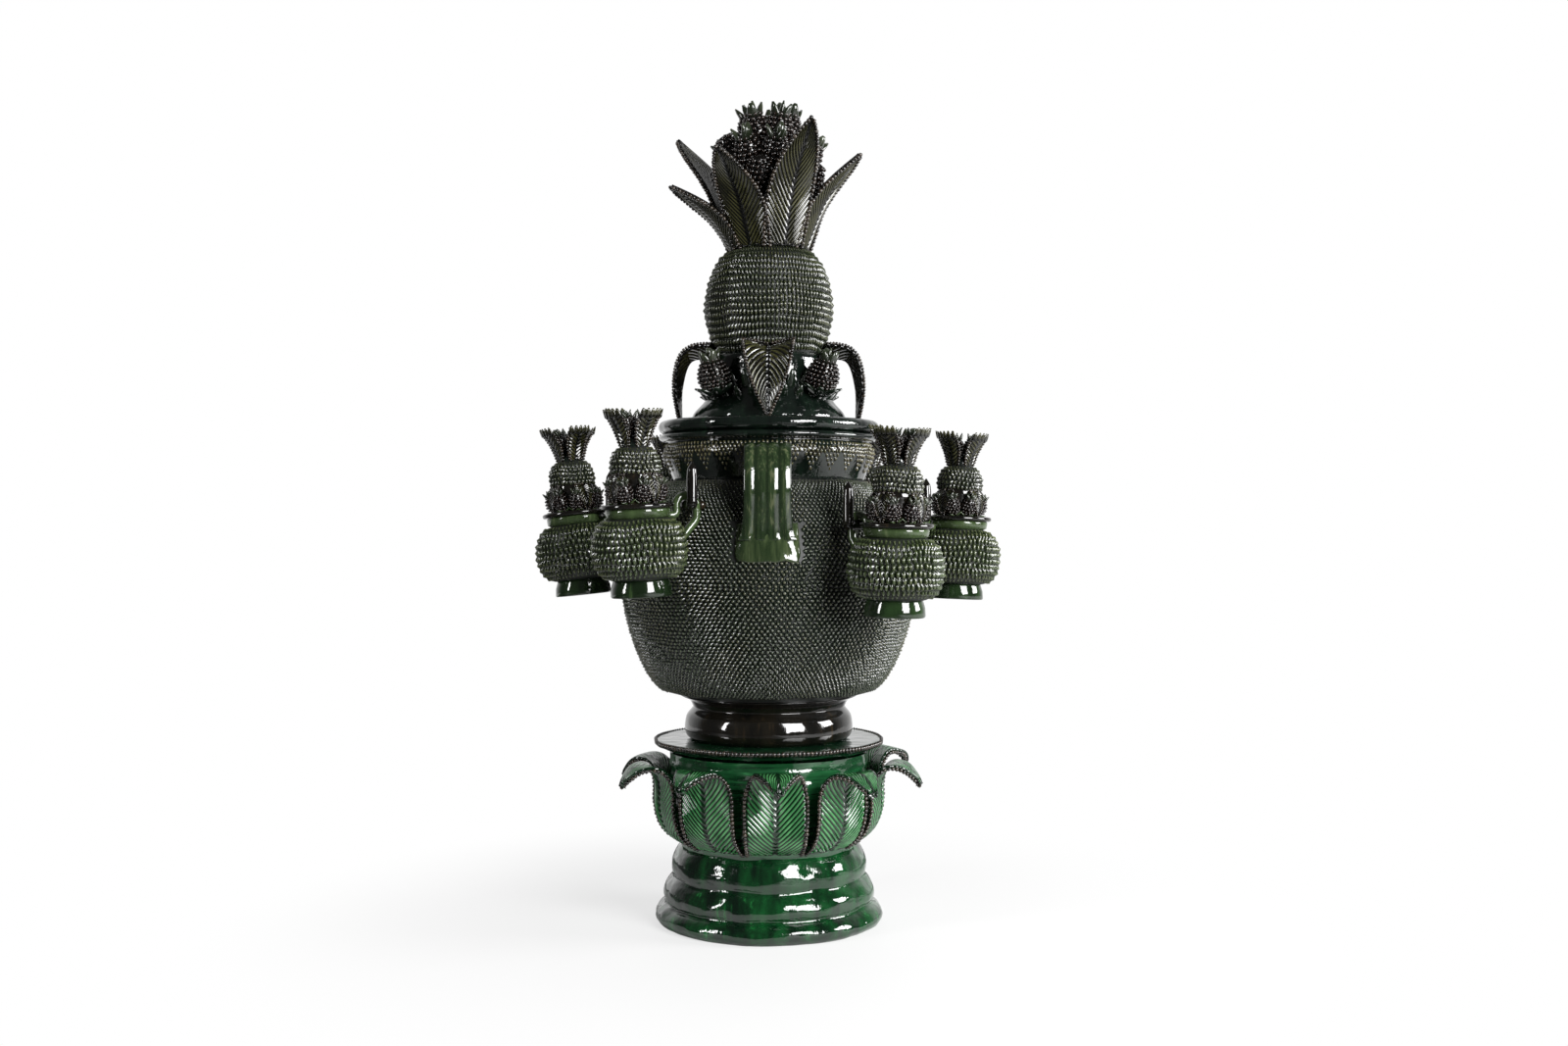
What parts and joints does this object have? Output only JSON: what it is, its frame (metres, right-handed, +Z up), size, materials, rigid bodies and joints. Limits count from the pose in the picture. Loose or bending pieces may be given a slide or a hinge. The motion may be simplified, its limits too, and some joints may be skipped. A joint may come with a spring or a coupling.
{
  "type": "pineapple punch jar",
  "caption": "Green-glazed ceramic punch jar shaped like a pineapple, on a leafed pedestal, with a finial lid and lidded mugs hanging by their handles from shoulder hooks.",
  "frame": {"origin": "centre of the pedestal's foot ring, on the floor", "axes": "+Z up along the jar's axis, -Y to the front strap handle, +X to the right as seen from the front"},
  "size_m": [0.525, 0.4652, 0.9002],
  "materials": {
    "bottle_green": "high gloss, streaked",
    "leaf_green": "high gloss over scored veins",
    "studded_green": "high gloss over small studs",
    "streaked_green": "high gloss, streaked",
    "olive_leaf": "high gloss over scored veins",
    "brown_black": "high gloss"
  },
  "bodies": {
    "pedestal": {"pedestal_base": "bottle_green", "pedestal_plate": "bottle_green", "pedestal_leaf_1": "leaf_green", "pedestal_leaf_2": "leaf_green", "pedestal_leaf_3": "leaf_green", "pedestal_leaf_4": "leaf_green", "pedestal_leaf_5": "leaf_green", "pedestal_leaf_6": "leaf_green", "pedestal_leaf_7": "leaf_green", "pedestal_leaf_8": "leaf_green", "pedestal_leaf_9": "leaf_green", "pedestal_leaf_10": "leaf_green"},
    "jar": {"jar_foot": "brown_black", "jar_body": "studded_green", "jar_collar": "studded_green", "handle_front": "streaked_green", "handle_back": "streaked_green", "hook_1": "brown_black", "hook_2": "brown_black", "hook_3": "brown_black", "hook_4": "brown_black", "hook_5": "brown_black", "hook_6": "brown_black"},
    "lid": {"lid_plate": "brown_black", "lid_fruit": "studded_green", "lid_leaf_1": "olive_leaf", "lid_leaf_2": "olive_leaf", "lid_leaf_3": "olive_leaf", "lid_leaf_4": "olive_leaf", "lid_pineapple_1": "brown_black", "lid_pineapple_2": "brown_black", "lid_pineapple_3": "brown_black", "lid_pineapple_4": "brown_black", "crown_stem": "brown_black", "crown_leaves": "olive_leaf", "crown_pineapples": "brown_black"},
    "mug_1": {"mug_1_body": "studded_green", "mug_1_handle": "bottle_green"},
    "mug_lid_1": {"mug_1_lid": "brown_black", "mug_1_finial": "studded_green"},
    "mug_2": {"mug_2_body": "studded_green", "mug_2_handle": "bottle_green"},
    "mug_lid_2": {"mug_2_lid": "brown_black", "mug_2_finial": "studded_green"},
    "mug_3": {"mug_3_body": "studded_green", "mug_3_handle": "bottle_green"},
    "mug_lid_3": {"mug_3_lid": "brown_black", "mug_3_finial": "studded_green"},
    "mug_4": {"mug_4_body": "studded_green", "mug_4_handle": "bottle_green"},
    "mug_lid_4": {"mug_4_lid": "brown_black", "mug_4_finial": "studded_green"},
    "mug_5": {"mug_5_body": "studded_green", "mug_5_handle": "bottle_green"},
    "mug_lid_5": {"mug_5_lid": "brown_black", "mug_5_finial": "studded_green"},
    "mug_6": {"mug_6_body": "studded_green", "mug_6_handle": "bottle_green"},
    "mug_lid_6": {"mug_6_lid": "brown_black", "mug_6_finial": "studded_green"}
  },
  "joints": [
    {"name": "jar_lift", "type": "slide", "parent": "pedestal", "child": "jar", "axis": [0, 0, 1], "range_m": [0, 0.1]},
    {"name": "lid_lift", "type": "slide", "parent": "jar", "child": "lid", "axis": [0, 0, 1], "range_m": [0, 0.08]},
    {"name": "mug_1_swing", "type": "hinge", "parent": "jar", "child": "mug_1", "pos_m": [-0.08294, -0.14239, 0.45371], "axis": [-0.454, 0.891, 0], "range_deg": [0, 25]},
    {"name": "mug_1_lid_lift", "type": "slide", "parent": "mug_1", "child": "mug_lid_1", "axis": [-0.0466, -0.0238, 0.9986], "range_m": [0, 0.04]},
    {"name": "mug_2_swing", "type": "hinge", "parent": "jar", "child": "mug_2", "pos_m": [0.09364, -0.14335, 0.43379], "axis": [-0.7547, -0.6561, 0], "range_deg": [0, 25]},
    {"name": "mug_2_lid_lift", "type": "slide", "parent": "mug_2", "child": "mug_lid_2", "axis": [0.0229, -0.0263, 0.9994], "range_m": [0, 0.04]},
    {"name": "mug_3_swing", "type": "hinge", "parent": "jar", "child": "mug_3", "pos_m": [-0.16811, 0.0108, 0.44993], "axis": [0.3746, 0.9272, 0], "range_deg": [0, 25]},
    {"name": "mug_3_lid_lift", "type": "slide", "parent": "mug_3", "child": "mug_lid_3", "axis": [-0.105, 0.0424, 0.9936], "range_m": [0, 0.04]},
    {"name": "mug_4_swing", "type": "hinge", "parent": "jar", "child": "mug_4", "pos_m": [0.16722, 0.0255, 0.44125], "axis": [0.454, -0.891, 0], "range_deg": [0, 25]},
    {"name": "mug_4_lid_lift", "type": "slide", "parent": "mug_4", "child": "mug_lid_4", "axis": [0.0389, 0.0198, 0.999], "range_m": [0, 0.04]},
    {"name": "mug_5_swing", "type": "hinge", "parent": "jar", "child": "mug_5", "pos_m": [-0.09987, 0.13575, 0.44563], "axis": [0.9511, 0.309, 0], "range_deg": [0, 25]},
    {"name": "mug_5_lid_lift", "type": "slide", "parent": "mug_5", "child": "mug_lid_5", "axis": [-0.0216, 0.0663, 0.9976], "range_m": [0, 0.04]},
    {"name": "mug_6_swing", "type": "hinge", "parent": "jar", "child": "mug_6", "pos_m": [0.09987, 0.13575, 0.44563], "axis": [0.9511, -0.309, 0], "range_deg": [0, 25]},
    {"name": "mug_6_lid_lift", "type": "slide", "parent": "mug_6", "child": "mug_lid_6", "axis": [0.0216, 0.0663, 0.9976], "range_m": [0, 0.04]}
  ]
}
